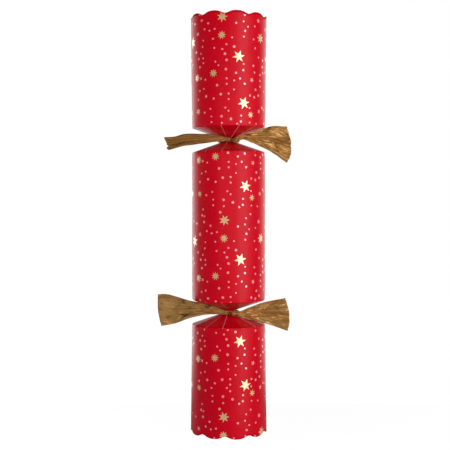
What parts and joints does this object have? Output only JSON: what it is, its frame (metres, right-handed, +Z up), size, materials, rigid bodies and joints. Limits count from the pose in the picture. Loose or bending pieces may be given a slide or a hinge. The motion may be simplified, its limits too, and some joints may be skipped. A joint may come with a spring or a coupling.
{
  "type": "christmas cracker",
  "caption": "Red card Christmas cracker with scalloped ends and gold paper ties on its chokes, which pulls apart on a snap and holds a paper hat, motto and spinning top.",
  "frame": {"origin": "on the cracker's axis, level with the crests of the lower scalloped rim that it stands on", "axes": "+Z up the cracker's axis, -Y the front with the ribbons' knots, +Y the back with the glued lap, +X to the right seen from the front"},
  "size_m": [0.0985, 0.0564, 0.305],
  "materials": {
    "printed_card": "satin printed card",
    "tube_board": "matte grey board",
    "gold_paper": "crinkled metallic paper",
    "snap_card": "matte card",
    "friction_pad": "gritty",
    "snap_paper": "matte paper",
    "tissue": "tissue paper",
    "motto_paper": "plain paper",
    "turned_wood": "waxed"
  },
  "bodies": {
    "barrel": {"barrel_wrapper": "printed_card", "barrel_tube": "tube_board", "upper_ribbon": "gold_paper", "lower_ribbon": "gold_paper"},
    "upper_handle": {"upper_handle_wrapper": "printed_card", "upper_end_tube": "tube_board", "upper_snap_strip": "snap_card", "upper_snap_pad": "friction_pad", "snap_sleeve": "snap_paper"},
    "lower_handle": {"lower_handle_wrapper": "printed_card", "lower_end_tube": "tube_board", "lower_snap_strip": "snap_card", "lower_snap_pad": "friction_pad"},
    "rolled_hat": {"paper_hat": "tissue", "motto_slip": "motto_paper"},
    "spinning_top": {"top_disc": "turned_wood", "top_spindle": "turned_wood"}
  },
  "joints": [
    {"name": "upper_pull", "type": "slide", "parent": "barrel", "child": "upper_handle", "axis": [0, 0, 1], "range_m": [0, 0.09]},
    {"name": "lower_pull", "type": "slide", "parent": "barrel", "child": "lower_handle", "axis": [0, 0, -1], "range_m": [0, 0.09]},
    {"name": "hat_slide", "type": "slide", "parent": "barrel", "child": "rolled_hat", "axis": [0, 0, 1], "range_m": [0, 0.048]},
    {"name": "top_slide", "type": "slide", "parent": "barrel", "child": "spinning_top", "axis": [0, 0, 1], "range_m": [0, 0.085]}
  ]
}
